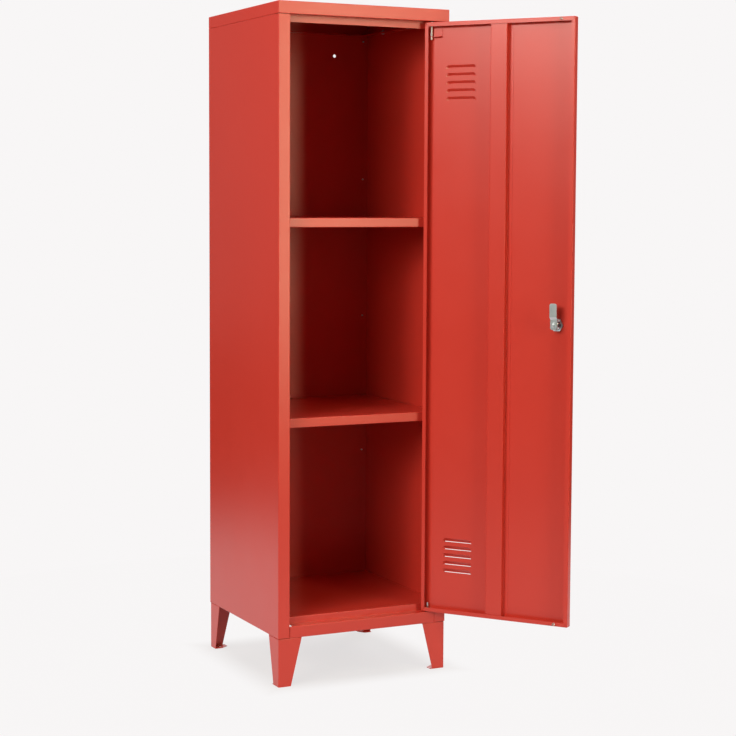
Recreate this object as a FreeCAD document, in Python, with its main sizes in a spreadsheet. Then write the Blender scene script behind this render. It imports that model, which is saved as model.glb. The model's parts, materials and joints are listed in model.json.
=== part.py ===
import FreeCAD, Part
import math
import os
import re
import Sketcher

# A single locker of folded steel sheet, in millimetres. +Z is up and the front faces -Y.
# The origin is on the ground, at the centre of the four feet. The door is drawn open.

document = FreeCAD.newDocument("SingleLocker")
sizes = document.addObject("Spreadsheet::Sheet", "Sizes")

driving_sizes = {
    # cabinet
    "width": 380.0,
    "depth": 380.0,
    "leg_height": 99.0,
    "rail_height": 24.0,
    "floor_drop": 14.0,
    "lower_clear": 386.0,
    "middle_clear": 384.0,
    "upper_clear": 400.0,
    "shelf_height": 19.0,
    "cap_height": 25.0,
    "sheet": 0.7,
    "bend_radius": 0.6,
    "seam": 0.8,
    "relief": 2.0,
    "fit": 0.2,
    # folded edges of the panels
    "stile_width": 25.0,
    "stile_lip": 12.0,
    "rear_flange": 25.0,
    "top_flange": 20.0,
    "bottom_flange": 25.0,
    "rail_return": 20.0,
    "step_notch": 6.0,
    "cap_return": 20.0,
    "stop_drop": 14.0,
    # shelves and their brackets
    "shelf_side_gap": 2.2,
    "shelf_setback": 0.7,
    "shelf_rear_gap": 0.5,
    "shelf_return": 18.0,
    "bracket_sheet": 1.2,
    "bracket_rise": 15.0,
    "bracket_ledge": 22.0,
    "bracket_length": 40.0,
    "bracket_inset": 60.0,
    # legs
    "leg_sheet": 1.2,
    "leg_inset": 1.0,
    "leg_top_width": 51.0,
    "leg_foot_width": 27.0,
    "leg_plate_arm": 24.0,
    "foot_plate": 32.0,
    "foot_plate_arm": 16.0,
    "foot_hole": 7.0,
    "foot_hole_inset": 16.0,
    # screws and nuts
    "screw_shank": 5.0,
    "screw_head": 9.0,
    "screw_head_height": 2.6,
    "screw_length": 8.0,
    "screw_clear": 0.25,
    "nut_width": 8.0,
    "nut_height": 4.0,
    "screw_reach": 37.0,
    "tap_shank": 3.9,
    "tap_head": 7.5,
    "tap_head_height": 2.2,
    "tap_length": 6.5,
    "tap_end_gap": 12.0,
    "tap_rows": 5,
    "wall_hole": 7.0,
    "wall_hole_spacing": 214.0,
    "wall_hole_drop": 46.0,
    # door
    "door_depth": 16.0,
    "door_side_gap": 2.0,
    "door_top_gap": 2.5,
    "door_bottom_gap": 1.5,
    "door_lip": 8.3,
    "swing_gap": 0.6,
    "open_angle": 127.0,
    "open_margin": 2.0,
    "mitre_slit": 0.4,
    "louvre_width": 68.0,
    "louvre_height": 8.5,
    "louvre_depth": 5.0,
    "louvre_round": 7.0,
    "crest_width": 58.0,
    "crest_height": 3.0,
    "crest_round": 2.2,
    "louvre_pitch": 16.0,
    "louvre_rows": 5,
    "louvre_inset": 75.0,
    "louvre_margin": 85.0,
    "lance_gap": 0.3,
    "stiffener_inset": 163.0,
    "stiffener_face": 34.4,
    "stiffener_brim": 10.0,
    "stiffener_height": 13.0,
    "buffer_width": 6.0,
    "buffer_inset": 29.0,
    "buffer_round": 2.0,
    # hinge
    "pin_inset": 11.0,
    "pin_width": 4.0,
    "pin_play": 0.06,
    "pin_chamfer": 0.6,
    "pin_drop": 35.0,
    "pin_reach": 8.0,
    "pin_rise": 17.5,
    "pin_collar": 9.0,
    "pin_collar_height": 2.0,
    "bush_wall": 1.4,
    "bush_flange": 1.8,
    "bush_flange_height": 1.0,
    "bush_length": 6.0,
    "guide_sheet": 1.2,
    "guide_near": 3.0,
    "guide_width": 19.0,
    "guide_drop": 29.0,
    "guide_height": 16.0,
    "guide_rim": 2.5,
    "guide_round": 3.0,
    # lock
    "lock_inset": 36.0,
    "lock_body": 18.0,
    "lock_flats": 16.0,
    "lock_body_length": 17.0,
    "bezel_width": 23.0,
    "bezel_height": 3.0,
    "bezel_round": 1.0,
    "lock_nut_width": 24.0,
    "lock_nut_height": 4.0,
    "plug_head": 15.0,
    "plug_head_height": 2.0,
    "plug_proud": 0.3,
    "plug_width": 12.0,
    "keyway_length": 8.0,
    "keyway_width": 1.6,
    "keyway_depth": 9.0,
    "tang_width": 7.0,
    "cam_sheet": 2.0,
    "cam_width": 15.0,
    "cam_length": 44.0,
    "cam_tail": 9.0,
    "cam_hub": 11.0,
    "cam_joggle": 6.0,
    "cam_clear": 0.7,
    "cam_gap": 0.2,
    "cam_round": 4.0,
    "washer_width": 12.0,
    "washer_sheet": 1.0,
    "cam_screw_shank": 4.0,
    "cam_screw_length": 9.0,
    "cam_screw_head": 7.0,
    "cam_screw_head_height": 2.8,
}

for row, (alias, size) in enumerate(driving_sizes.items(), start=1):
    sizes.set(f"A{row}", str(size))
    sizes.setAlias(f"A{row}", alias)
document.recompute()

# Sizes that follow from the driving ones.
half_width = "(width / 2)"
half_depth = "(depth / 2)"
bend = "(bend_radius + sheet)"
step_level = "(leg_height + rail_height)"
floor_level = f"({step_level} + floor_drop)"
lower_level = f"({floor_level} + lower_clear)"
upper_level = f"({lower_level} + shelf_height + middle_clear)"
ceiling_level = f"({upper_level} + shelf_height + upper_clear)"
wall_height = f"({ceiling_level} - leg_height)"
wall_face = f"({half_width} - sheet)"
back_face = f"({half_depth} - 2 * sheet)"
rail_half = f"({half_width} - stile_width - seam)"
floor_rear = f"({back_face} - fit)"
shelf_rear = f"({half_depth} - tap_length - shelf_rear_gap)"

# The pins stand where the open door's edge just clears its stile, and the door stops stand
# behind the arc of the door's inner corner.
pin_setback = "((pin_inset + door_side_gap) / tan((open_angle + open_margin) / 2))"
swing = f"sqrt(pin_inset ^ 2 + (door_depth - {pin_setback}) ^ 2)"
stop_depth = f"({pin_setback} + {swing} + swing_gap)"
stop_line = f"({stop_depth} - {half_depth})"
hinge_x = f"({half_width} - stile_width - door_side_gap - pin_inset)"
hinge_y = f"({pin_setback} - {half_depth})"
door_bottom = f"({step_level} + door_bottom_gap)"
door_height = f"({ceiling_level} - door_top_gap - {door_bottom})"
door_width = "(width - 2 * stile_width - 2 * door_side_gap)"

# On the door, the pin axis is the origin, x grows towards the hinge edge and y into the cabinet.
skin_face = f"(sheet - {pin_setback})"
lip_plane = f"(door_depth - {pin_setback})"
free_edge = f"(pin_inset - {door_width})"
lock_x = f"({free_edge} + lock_inset)"
lock_z = f"({door_height} / 2)"
bezel_front = f"(-{pin_setback} - bezel_height)"
lock_rear = f"(lock_body_length - {pin_setback})"
cam_front = f"({lock_rear} + cam_gap)"
cam_tip_front = f"({stop_depth} - {pin_setback} + cam_clear)"

# Screw places, from the cabinet's centre.
side_screw_x = f"({half_width} - bottom_flange / 2)"
side_screw_y = f"({half_depth} - screw_reach)"
rail_screw_x = f"({half_width} - screw_reach)"
front_screw_y = f"(-{half_depth} + rail_return / 2)"
rear_screw_y = f"({floor_rear} - rail_return / 2)"
cap_screw_x = f"({half_width} - top_flange / 2)"
cap_screw_y = f"({half_depth} / 2)"
shelf_screw_x = f"({wall_face} - bracket_ledge / 2)"
bracket_y = f"({half_depth} - bracket_inset)"
screw_hole = "(screw_shank + 2 * screw_clear)"
tap_hole = "(tap_shank + 2 * screw_clear)"
pin_hole = "(pin_width + 2 * pin_play)"
bush_width = f"({pin_hole} + 2 * bush_wall)"
bush_hole = f"({bush_width} + 2 * pin_play)"
front_rail_screws = [(f"({side} * {rail_screw_x})", front_screw_y) for side in (-1, 1)]
rear_rail_screws = [(f"({side} * {rail_screw_x})", rear_screw_y) for side in (-1, 1)]
rail_screws = front_rail_screws + rear_rail_screws


def expression(formula):
    """The formula with each size named as a cell of the sheet."""
    def cell(word):
        name = word.group()
        return f"Sizes.{name}" if name in driving_sizes else name
    return re.sub(r"[a-z_]+", cell, str(formula))


def number(formula):
    return float(sizes.evalExpression(expression(formula)))


def new_body(name, level="0"):
    body = document.addObject("PartDesign::Body", name)
    body.Label = name
    body.setExpression("Placement.Base.z", expression(level))
    return body


def new_door_body(name):
    """A body in the door's own frame, hung on the pin axis and turned open."""
    body = new_body(name, door_bottom)
    body.setExpression("Placement.Base.x", expression(hinge_x))
    body.setExpression("Placement.Base.y", expression(hinge_y))
    body.setExpression("Placement.Rotation.Angle", expression("open_angle"))
    return body


def origin_item(body, role):
    return next(item for item in body.Origin.OriginFeatures if item.Role == role)


def sketch_on(body, plane, level="0"):
    """A sketch on an origin plane, moved by level along the plane's normal: +Z, -Y or +X."""
    sketch = body.newObject("Sketcher::SketchObject", "Sketch")
    sketch.AttachmentSupport = [(origin_item(body, plane), "")]
    sketch.MapMode = "FlatFace"
    sketch.setExpression("AttachmentOffset.Base.z", expression(level))
    return sketch


def bind(sketch, constraint, formula):
    index = sketch.addConstraint(constraint)
    sketch.setExpression(f"Constraints[{index}]", expression(formula))


def hold(sketch, geometry, end, x, y):
    bind(sketch, Sketcher.Constraint("DistanceX", -1, 1, geometry, end, number(x)), x)
    bind(sketch, Sketcher.Constraint("DistanceY", -1, 1, geometry, end, number(y)), y)


def unit(start, end):
    run = FreeCAD.Vector(end[0] - start[0], end[1] - start[1], 0)
    return run.normalize()


def shifted(formula, amount, factor):
    return formula if round(factor) == 0 else f"({formula} + {round(factor)} * ({amount}))"


def outline(sketch, corners):
    """A closed outline through (x, y) or (x, y, radius) corners. Rounded ones are square to the axes."""
    places = [(number(corner[0]), number(corner[1])) for corner in corners]
    count = len(corners)
    leaves = []
    arrives = []
    for index, corner in enumerate(corners):
        if len(corner) == 2:
            arrives.append(corner)
            leaves.append(corner)
            continue
        x, y, radius = corner
        inward = unit(places[index - 1], places[index])
        onward = unit(places[index], places[(index + 1) % count])
        arrives.append((shifted(x, radius, -inward.x), shifted(y, radius, -inward.y)))
        leaves.append((shifted(x, radius, onward.x), shifted(y, radius, onward.y)))
    lines = []
    for index in range(count):
        start = leaves[index]
        end = arrives[(index + 1) % count]
        first = FreeCAD.Vector(number(start[0]), number(start[1]), 0)
        last = FreeCAD.Vector(number(end[0]), number(end[1]), 0)
        lines.append(sketch.addGeometry(Part.LineSegment(first, last), False))
    for index, corner in enumerate(corners):
        before = lines[index - 1]
        after = lines[index]
        hold(sketch, after, 1, *leaves[index])
        if len(corner) == 2:
            sketch.addConstraint(Sketcher.Constraint("Coincident", before, 2, after, 1))
            continue
        hold(sketch, before, 2, *arrives[index])
        round_corner(sketch, before, after, corner[2])


def round_corner(sketch, before, after, radius):
    """A quarter arc from the end of one line to the start of the next."""
    start = sketch.Geometry[before].EndPoint
    end = sketch.Geometry[after].StartPoint
    inward = unit(sketch.Geometry[before].StartPoint, start)
    onward = unit(end, sketch.Geometry[after].EndPoint)
    centre = start + onward * number(radius)
    turns_left = inward.x * onward.y - inward.y * onward.x > 0
    first, last = (start, end) if turns_left else (end, start)
    angles = [math.atan2(point.y - centre.y, point.x - centre.x) for point in (first, last)]
    if angles[1] < angles[0]:
        angles[1] += 2 * math.pi
    circle = Part.Circle(centre, FreeCAD.Vector(0, 0, 1), number(radius))
    arc = sketch.addGeometry(Part.ArcOfCircle(circle, *angles), False)
    sketch.addConstraint(Sketcher.Constraint("Coincident", before, 2, arc, 1 if turns_left else 2))
    sketch.addConstraint(Sketcher.Constraint("Coincident", after, 1, arc, 2 if turns_left else 1))
    bind(sketch, Sketcher.Constraint("Radius", arc, number(radius)), radius)


def folded(sketch, path, thickness, side):
    """The section of a folded sheet. The path runs along one face, and the other face lies
    one thickness to the path's left (side 1) or right (side -1)."""
    places = [(number(x), number(y)) for x, y in path]
    runs = [unit(start, end) for start, end in zip(places, places[1:])]
    near = []
    far = []
    for index, (x, y) in enumerate(path):
        beside = [runs[i] for i in (index - 1, index) if 0 <= i < len(runs)]
        across_x = sum(-side * run.y for run in beside)
        across_y = sum(side * run.x for run in beside)
        opposite = (shifted(x, thickness, across_x), shifted(y, thickness, across_y))
        if len(beside) == 1:
            near.append((x, y))
            far.append(opposite)
            continue
        turn = beside[0].x * beside[1].y - beside[0].y * beside[1].x
        outer = f"(bend_radius + {thickness})"
        radii = (outer, "bend_radius") if turn * side > 0 else ("bend_radius", outer)
        near.append((x, y, radii[0]))
        far.append((*opposite, radii[1]))
    outline(sketch, near + far[::-1])


def rectangle(left, right, low, high):
    return [(left, low), (right, low), (right, high), (left, high)]


def circles(sketch, centres, width):
    for x, y in centres:
        centre = FreeCAD.Vector(number(x), number(y), 0)
        circle = Part.Circle(centre, FreeCAD.Vector(0, 0, 1), number(width) / 2)
        index = sketch.addGeometry(circle, False)
        hold(sketch, index, 3, x, y)
        bind(sketch, Sketcher.Constraint("Diameter", index, number(width)), width)


def hexagons(sketch, centres, across_flats):
    """Hexagons with two flats square to the sketch's x axis."""
    for x, y in centres:
        corners = []
        for step in range(6):
            turn = math.radians(60 * step + 30)
            corners.append((f"({x} + {math.cos(turn):.9f} * {across_flats} / sqrt(3))",
                            f"({y} + {math.sin(turn):.9f} * {across_flats} / sqrt(3))"))
        outline(sketch, corners)


def flatted_circle(sketch, x, y, width, across_flats):
    """A circle with two flats square to the sketch's x axis."""
    reach = f"(({across_flats}) / 2)"
    rise = f"(sqrt(({width}) ^ 2 - ({across_flats}) ^ 2) / 2)"
    radius = f"(({width}) / 2)"
    centre = FreeCAD.Vector(number(x), number(y), 0)
    circle = Part.Circle(centre, FreeCAD.Vector(0, 0, 1), number(radius))
    tilt = math.atan2(number(rise), number(reach))
    lines = []
    arcs = []
    for side in (1, -1):
        ends = [(f"({x} + {side} * {reach})", f"({y} + {end * side} * {rise})") for end in (-1, 1)]
        points = [FreeCAD.Vector(number(end[0]), number(end[1]), 0) for end in ends]
        line = sketch.addGeometry(Part.LineSegment(*points), False)
        for end, place in enumerate(ends, start=1):
            hold(sketch, line, end, *place)
        lines.append(line)
        start = tilt if side > 0 else tilt + math.pi
        arcs.append(sketch.addGeometry(Part.ArcOfCircle(circle, start, start + math.pi - 2 * tilt), False))
    for turn in range(2):
        sketch.addConstraint(Sketcher.Constraint("Coincident", lines[turn], 2, arcs[turn], 1))
        sketch.addConstraint(Sketcher.Constraint("Coincident", arcs[turn], 2, lines[1 - turn], 1))
        bind(sketch, Sketcher.Constraint("Radius", arcs[turn], number(radius)), radius)


def pad(body, sketch, length, backwards=False):
    feature = body.newObject("PartDesign::Pad", "Pad")
    feature.Profile = sketch
    feature.Reversed = backwards
    feature.setExpression("Length", expression(length))
    document.recompute()
    return feature


def cut(body, sketch, length):
    """A pocket that runs along the sketch's normal, as a pad does."""
    before = body.Shape.Volume
    feature = body.newObject("PartDesign::Pocket", "Pocket")
    feature.Profile = sketch
    feature.Reversed = True
    feature.setExpression("Length", expression(length))
    document.recompute()
    if body.Shape.Volume >= before:
        raise RuntimeError(f"a cut in {body.Label} removes nothing")
    return feature


def holes(body, plane, level, centres, width, length):
    sketch = sketch_on(body, plane, level)
    circles(sketch, centres, width)
    cut(body, sketch, length)


def round_edges(body, chosen, radius):
    """A fillet on those edges of the body for which chosen(edge) holds."""
    base = body.Tip
    names = [f"Edge{i}" for i, edge in enumerate(base.Shape.Edges, start=1) if chosen(edge)]
    fillet = body.newObject("PartDesign::Fillet", "Fillet")
    fillet.Base = (base, names)
    fillet.setExpression("Radius", expression(radius))
    document.recompute()


def round_bend(body, plane, level, corner, out, radius, length):
    """Rounds the outer edge of a bend that runs along the plane's normal through corner. The two
    signs of out lead away from the sheet."""
    x, y = corner
    across, up = out
    beyond = (f"({x} + {across} * {radius})", f"({y} + {up} * {radius})")
    within = (f"({x} - {across} * 2 * {radius})", f"({y} - {up} * 2 * {radius})")
    sketch = sketch_on(body, plane, level)
    outline(sketch, [(x, within[1]), (beyond[0], within[1]), beyond, (within[0], beyond[1]),
                     (within[0], y), (x, y, radius)])
    cut(body, sketch, length)


def box_edge_test(shape):
    """Holds for the edges that lie along the twelve edges of the shape's own box."""
    box = shape.BoundBox
    limits = ((box.XMin, box.XMax), (box.YMin, box.YMax), (box.ZMin, box.ZMax))

    def test(edge):
        extent = edge.BoundBox
        spans = ((extent.XMin, extent.XMax), (extent.YMin, extent.YMax), (extent.ZMin, extent.ZMax))
        on_face = 0
        for (low, high), limit in zip(spans, limits):
            if high - low < 1e-4 and min(abs(low - end) for end in limit) < 1e-4:
                on_face += 1
        return on_face == 2
    return test


def tray(body, plane, level, sides, height, returns):
    """A pan folded from one sheet, open at level, with a return along each side of its mouth.
    sides and returns are given left, right, low, high."""
    left, right, low, high = sides
    shell = sketch_on(body, plane, level)
    outline(shell, rectangle(left, right, low, high))
    pad(body, shell, height)
    round_edges(body, box_edge_test(body.Tip.Shape), bend)
    inside = sketch_on(body, plane, f"{level} + sheet")
    outline(inside, rectangle(f"({left} + sheet)", f"({right} - sheet)",
                              f"({low} + sheet)", f"({high} - sheet)"))
    cut(body, inside, f"{height} - 2 * sheet")
    mouth = sketch_on(body, plane, level)
    outline(mouth, rectangle(f"({left} + {returns[0]})", f"({right} - {returns[1]})",
                             f"({low} + {returns[2]})", f"({high} - {returns[3]})"))
    cut(body, mouth, "sheet")


def turned(body, profile):
    """A solid of revolution about the body's Z axis from (radius, height) corners."""
    sketch = sketch_on(body, "XZ_Plane")
    outline(sketch, profile)
    feature = body.newObject("PartDesign::Revolution", "Revolution")
    feature.Profile = sketch
    feature.ReferenceAxis = (sketch, ["V_Axis"])
    feature.Angle = 360
    document.recompute()


def four_corners(x, y):
    return [(f"({across} * {x})", f"({along} * {y})") for across in (-1, 1) for along in (-1, 1)]


def make_side_panel(name, side):
    """Side wall with its rear flange, front stile, stile return and lip, and flanges top and bottom."""
    body = new_body(name, "leg_height")

    def inward(distance):
        return f"({side} * ({half_width} - {distance}))"

    plan = sketch_on(body, "XY_Plane")
    folded(plan, [
        (inward("rear_flange"), half_depth),
        (inward("0"), half_depth),
        (inward("0"), f"(-{half_depth})"),
        (inward("stile_width"), f"(-{half_depth})"),
        (inward("stile_width"), stop_line),
        (inward("(stile_width - stile_lip)"), stop_line),
    ], "sheet", -side)
    pad(body, plan, wall_height)
    flange_front = f"({stop_line} + relief)"
    flange_rear = f"({back_face} - relief)"
    for level, reach in (("0", "bottom_flange"), (f"({wall_height} - sheet)", "top_flange")):
        flange = sketch_on(body, "XY_Plane", level)
        outline(flange, rectangle(inward("0"), inward(reach), flange_front, flange_rear))
        pad(body, flange, "sheet")
    for level, away in (("0", -1), (wall_height, 1)):
        round_bend(body, "XZ_Plane", f"(-{flange_rear})", (inward("0"), level), (side, away), bend,
                   f"{flange_rear} - {flange_front}")
        stile_end = sketch_on(body, "XZ_Plane", f"(-{flange_front})")
        outline(stile_end, rectangle(inward("(-seam)"), inward("(stile_width + seam)"),
                                     f"({level} - seam)", f"({level} + seam)"))
        cut(body, stile_end, f"{flange_front} + {half_depth} + seam")
    leg_screws = [(f"({side} * {side_screw_x})", f"({along} * {side_screw_y})") for along in (-1, 1)]
    cap_screws = [(f"({side} * {cap_screw_x})", f"({along} * {cap_screw_y})") for along in (-1, 1)]
    holes(body, "XY_Plane", "0", leg_screws, screw_hole, "sheet")
    holes(body, "XY_Plane", f"({wall_height} - sheet)", cap_screws, screw_hole, "sheet")
    rear_screws = [(x, f"({z} - leg_height)") for x, z in tap_places(side)]
    holes(body, "XZ_Plane", f"(-{half_depth})", rear_screws, tap_hole, "sheet")


def tap_places(side):
    """Places (x, z) of the back panel's screws along one rear flange, evenly spread."""
    x = f"({side} * ({half_width} - rear_flange / 2))"
    rows = int(driving_sizes["tap_rows"])
    pitch = f"(({wall_height} - 2 * tap_end_gap) / (tap_rows - 1))"
    return [(x, f"(leg_height + tap_end_gap + {row} * {pitch})") for row in range(rows)]


def make_back_panel():
    """Flat sheet inside the rear flanges, with two holes for fixing to a wall."""
    body = new_body("back_panel")
    sheet_outline = sketch_on(body, "XZ_Plane", f"(-({half_depth} - sheet))")
    edge = f"({wall_face} - bend_radius - fit)"
    outline(sheet_outline, rectangle(f"(-{edge})", edge, "(leg_height + fit)", ceiling_level))
    pad(body, sheet_outline, "sheet")
    fixing_level = f"({ceiling_level} - wall_hole_drop)"
    fixings = [(f"({side} * wall_hole_spacing / 2)", fixing_level) for side in (-1, 1)]
    holes(body, "XZ_Plane", f"(-({half_depth} - sheet))", fixings, "wall_hole", "sheet")
    holes(body, "XZ_Plane", f"(-({half_depth} - sheet))", tap_places(-1) + tap_places(1), tap_hole, "sheet")


def make_top_panel():
    """Cap with returns all round. The front return ends in a flange that stops the door."""
    body = new_body("top_panel", ceiling_level)
    tray(body, "XY_Plane", "0", (f"(-{half_width})", half_width, f"(-{half_depth})", half_depth),
         "cap_height", ("cap_return", "cap_return", f"({stop_depth} + sheet)", "cap_return"))
    stop = sketch_on(body, "XY_Plane", "(-stop_drop)")
    outline(stop, rectangle(f"(-{rail_half})", rail_half, stop_line, f"({stop_line} + sheet)"))
    pad(body, stop, "stop_drop + sheet")
    holes(body, "XY_Plane", "0", [(hinge_x, hinge_y)], bush_hole, "sheet")
    holes(body, "XY_Plane", "0", four_corners(cap_screw_x, cap_screw_y), screw_hole, "sheet")


def make_bottom_panel():
    """Compartment floor, front drop, step and rail folded from one sheet, with side flanges. The
    rail's ends are turned back, and the step is notched beside the stiles."""
    body = new_body("bottom_panel")
    section = sketch_on(body, "YZ_Plane", f"(-{rail_half})")
    folded(section, [
        (f"(rail_return - {half_depth})", "leg_height"),
        (f"(-{half_depth})", "leg_height"),
        (f"(-{half_depth})", step_level),
        (stop_line, step_level),
        (stop_line, floor_level),
        (floor_rear, floor_level),
        (floor_rear, "leg_height"),
        (f"({floor_rear} - rail_return)", "leg_height"),
    ], "sheet", -1)
    pad(body, section, f"2 * {rail_half}")
    for side in (-1, 1):
        wing = sketch_on(body, "XZ_Plane", f"(-{floor_rear})")
        edge = f"({side} * ({wall_face} - fit))"
        folded(wing, [
            (f"({side} * ({rail_half} - relief))", floor_level),
            (edge, floor_level),
            (edge, "(leg_height + sheet)"),
            (f"({side} * ({half_width} - bottom_flange))", "(leg_height + sheet)"),
        ], "sheet", -side)
        pad(body, wing, f"{floor_rear} - {stop_line} - relief")
        rail_end = sketch_on(body, "XY_Plane", f"(leg_height + {bend})")
        outline(rail_end, rectangle(f"({side} * ({rail_half} - sheet))", f"({side} * {rail_half})",
                                    f"(-{half_depth})", f"(rail_return - {half_depth})"))
        pad(body, rail_end, f"rail_height - 2 * {bend}")
        notch = sketch_on(body, "XY_Plane", f"({step_level} - {bend})")
        outline(notch, rectangle(f"({side} * ({rail_half} - step_notch))", f"({side} * ({rail_half} + seam))",
                                 f"({bend} - {half_depth})", f"({stop_line} + relief)"))
        cut(body, notch, f"floor_drop + 2 * {bend}")
    side_screws = four_corners(side_screw_x, side_screw_y)
    holes(body, "XY_Plane", "(leg_height + sheet)", side_screws, screw_hole, "sheet")
    holes(body, "XY_Plane", "leg_height", rail_screws, screw_hole, "sheet")
    holes(body, "XY_Plane", f"({step_level} - sheet)", [(hinge_x, hinge_y)], bush_hole, "sheet")


def make_shelf(name, level):
    """Pan turned upside down, with returns that its brackets' screws go through."""
    body = new_body(name, level)
    edge = f"({wall_face} - shelf_side_gap)"
    tray(body, "XY_Plane", "0", (f"(-{edge})", edge, f"({stop_line} + shelf_setback)", shelf_rear),
         "shelf_height", ("shelf_return",) * 4)
    holes(body, "XY_Plane", "0", four_corners(shelf_screw_x, bracket_y), screw_hole, "sheet")


def make_shelf_brackets(name, level):
    """Four angle brackets on the side walls, with ledges that carry the shelf."""
    body = new_body(name, level)
    for along in (-1, 1):
        section = sketch_on(body, "XZ_Plane", f"(-({along} * {bracket_y} + bracket_length / 2))")
        for side in (-1, 1):
            folded(section, [
                (f"({side} * {wall_face})", "bracket_rise"),
                (f"({side} * {wall_face})", "(-bracket_sheet)"),
                (f"({side} * ({wall_face} - bracket_ledge))", "(-bracket_sheet)"),
            ], "bracket_sheet", -side)
        pad(body, section, "bracket_length")
    screws = four_corners(shelf_screw_x, bracket_y)
    holes(body, "XY_Plane", "(-bracket_sheet)", screws, screw_hole, "bracket_sheet")


def make_leg(name, across, along):
    """Tapered angle leg with a plate bent in at the top and a foot plate bent in at the bottom."""
    body = new_body(name)

    def place(x, y):
        return (f"({across} * ({half_width} - leg_inset - {x}))",
                f"({along} * ({half_depth} - leg_inset - {y}))")

    def angle(level, reach):
        section = sketch_on(body, "XY_Plane", level)
        outline(section, [place("0", "0"), place(reach, "0"), place(reach, "leg_sheet"),
                          place("leg_sheet", "leg_sheet"), place("leg_sheet", reach), place("0", reach)])
        return section

    def plate(level, reach_x, reach_y, arm):
        section = sketch_on(body, "XY_Plane", level)
        outline(section, [place("0", "0"), place(reach_x, "0"), place(reach_x, arm),
                          place(arm, reach_y), place("0", reach_y)])
        pad(body, section, "leg_sheet")

    taper = body.newObject("PartDesign::AdditiveLoft", "Loft")
    foot = angle("0", "leg_foot_width")
    head = angle("leg_height", "leg_top_width")
    taper.Profile = foot
    taper.Sections = [head]
    taper.Ruled = True
    document.recompute()
    plate("(leg_height - leg_sheet)", "leg_top_width", "leg_top_width", "leg_plate_arm")
    reaches = ("foot_plate", "leg_foot_width")
    plate("0", *(reaches if across * along < 0 else reaches[::-1]), "foot_plate_arm")
    corner = [number(part) for part in place("0", "0")]

    def on_corner(edge):
        return all(math.hypot(v.X - corner[0], v.Y - corner[1]) < 1e-4 for v in edge.Vertexes)

    leg_bend = "(bend_radius + leg_sheet)"
    round_edges(body, on_corner, leg_bend)
    outer_x, outer_y = place("0", "0")
    round_bend(body, "XZ_Plane", f"(-{half_depth})", (outer_x, "leg_height"), (across, 1), leg_bend, "depth")
    round_bend(body, "YZ_Plane", f"(-{half_width})", (outer_y, "leg_height"), (along, 1), leg_bend, "width")
    holes(body, "XY_Plane", "0", [place("foot_hole_inset", "foot_hole_inset")], "foot_hole", "leg_sheet")
    rail_y = f"(-1 * {front_screw_y})" if along < 0 else rear_screw_y
    screws = [(f"({across} * {side_screw_x})", f"({along} * {side_screw_y})"),
              (f"({across} * {rail_screw_x})", f"({along} * {rail_y})")]
    holes(body, "XY_Plane", "(leg_height - leg_sheet)", screws, screw_hole, "leg_sheet")


def make_screws(name, plane, groups, kind):
    """Pan-head screws. Each group is (level, centres): heads stand behind the level, shanks run ahead."""
    body = new_body(name)
    for level, centres in groups:
        shanks = sketch_on(body, plane, level)
        circles(shanks, centres, f"{kind}_shank")
        pad(body, shanks, f"{kind}_length")
        heads = sketch_on(body, plane, level)
        circles(heads, centres, f"{kind}_head")
        pad(body, heads, f"{kind}_head_height", backwards=True)
    head_radius = number(f"{kind}_head") / 2
    outer = {"XY_Plane": FreeCAD.Vector(0, 0, -1), "XZ_Plane": FreeCAD.Vector(0, 1, 0)}[plane]
    crowns = []
    for level, _ in groups:
        crowns.append(number(f"{kind}_head_height") - number(level))

    def on_crown(edge):
        if edge.Curve.TypeId != "Part::GeomCircle" or abs(edge.Curve.Radius - head_radius) > 1e-4:
            return False
        return any(abs(edge.Curve.Center.dot(outer) - crown) < 1e-4 for crown in crowns)

    round_edges(body, on_crown, f"{kind}_head_height / 2")


def make_nuts(name, groups):
    """Hexagon nuts lying on each group's level."""
    body = new_body(name)
    for level, centres in groups:
        section = sketch_on(body, "XY_Plane", level)
        hexagons(section, centres, "nut_width")
        circles(section, centres, screw_hole)
        pad(body, section, "nut_height")


def make_fasteners():
    side_screws = four_corners(side_screw_x, side_screw_y)
    make_screws("leg_screws", "XY_Plane", [("(leg_height - leg_sheet)", side_screws + rail_screws)], "screw")
    make_nuts("leg_nuts", [("(leg_height + 2 * sheet)", side_screws), ("(leg_height + sheet)", rail_screws)])
    cap_screws = four_corners(cap_screw_x, cap_screw_y)
    make_screws("cap_screws", "XY_Plane", [(f"({ceiling_level} - sheet)", cap_screws)], "screw")
    make_nuts("cap_nuts", [(f"({ceiling_level} + sheet)", cap_screws)])
    shelf_screws = four_corners(shelf_screw_x, bracket_y)
    shelves = [(f"({level} - bracket_sheet)", shelf_screws) for level in (lower_level, upper_level)]
    make_screws("shelf_screws", "XY_Plane", shelves, "screw")
    back_screws = tap_places(-1) + tap_places(1)
    make_screws("back_panel_screws", "XZ_Plane", [(f"(-{half_depth})", back_screws)], "tap")


def make_hinge_bushes():
    """Plastic bushes with thin flanges: one under the cap, and one on the step that carries the door."""
    bore = f"({pin_hole} / 2)"
    body_radius = f"({bush_width} / 2)"
    flange_radius = f"({bush_width} / 2 + bush_flange)"
    upper = new_body("upper_hinge_bush", ceiling_level)
    turned(upper, [(bore, "(-bush_flange_height)"), (flange_radius, "(-bush_flange_height)"),
                   (flange_radius, "0"), (body_radius, "0"), (body_radius, "bush_length"),
                   (bore, "bush_length")])
    lower = new_body("lower_hinge_bush", step_level)
    turned(lower, [(bore, "(-bush_length)"), (body_radius, "(-bush_length)"), (body_radius, "0"),
                   (flange_radius, "0"), (flange_radius, "door_bottom_gap"), (bore, "door_bottom_gap")])
    for bush in (upper, lower):
        bush.setExpression("Placement.Base.x", expression(hinge_x))
        bush.setExpression("Placement.Base.y", expression(hinge_y))


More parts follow.
